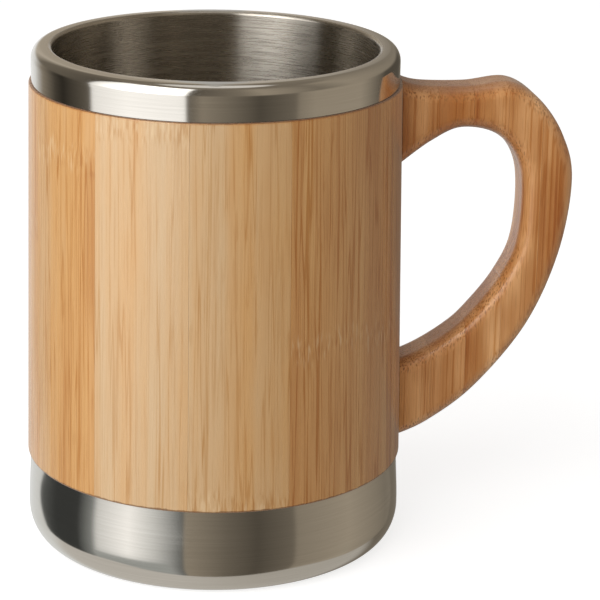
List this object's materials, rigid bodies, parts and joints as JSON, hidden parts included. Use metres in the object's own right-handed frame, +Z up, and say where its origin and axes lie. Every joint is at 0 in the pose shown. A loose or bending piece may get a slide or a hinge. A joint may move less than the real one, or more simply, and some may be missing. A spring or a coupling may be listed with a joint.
{
  "type": "bamboo clad steel mug",
  "caption": "Drinking mug with a drawn steel cup and rolled lip, a glued bamboo stave sleeve, a steel base cup and a laminated bamboo ear handle",
  "frame": {"origin": "on the cup's axis, on the underside of the base cup that the mug stands on", "axes": "+Z up along the cup's axis, +X out through the middle of the handle, +Y to the left of someone looking along +X"},
  "size_m": [0.1204, 0.0828, 0.11],
  "materials": {
    "cup_steel": "polished collar and lip, circumferentially brushed inside",
    "base_steel": "satin, circumferentially brushed",
    "screw_steel": "plain bright",
    "sleeve_bamboo": "sanded and lacquered, satin, grain upright",
    "handle_bamboo": "sanded and lacquered, satin, grain upright"
  },
  "bodies": {
    "root": {"inner_cup": "cup_steel", "base_cup": "base_steel", "handle_screw_upper": "screw_steel", "handle_screw_lower": "screw_steel", "stave_01": "sleeve_bamboo", "stave_02": "sleeve_bamboo", "stave_03": "sleeve_bamboo", "stave_04": "sleeve_bamboo", "stave_05": "sleeve_bamboo", "stave_06": "sleeve_bamboo", "stave_07": "sleeve_bamboo", "stave_08": "sleeve_bamboo", "stave_09": "sleeve_bamboo", "stave_10": "sleeve_bamboo", "stave_11": "sleeve_bamboo", "stave_12": "sleeve_bamboo", "handle_upper_layer_1": "handle_bamboo", "handle_lower_layer_1": "handle_bamboo", "handle_upper_layer_2": "handle_bamboo", "handle_lower_layer_2": "handle_bamboo", "handle_upper_layer_3": "handle_bamboo", "handle_lower_layer_3": "handle_bamboo", "handle_grip_layer_4": "handle_bamboo", "handle_grip_layer_5": "handle_bamboo"}
  },
  "joints": []
}
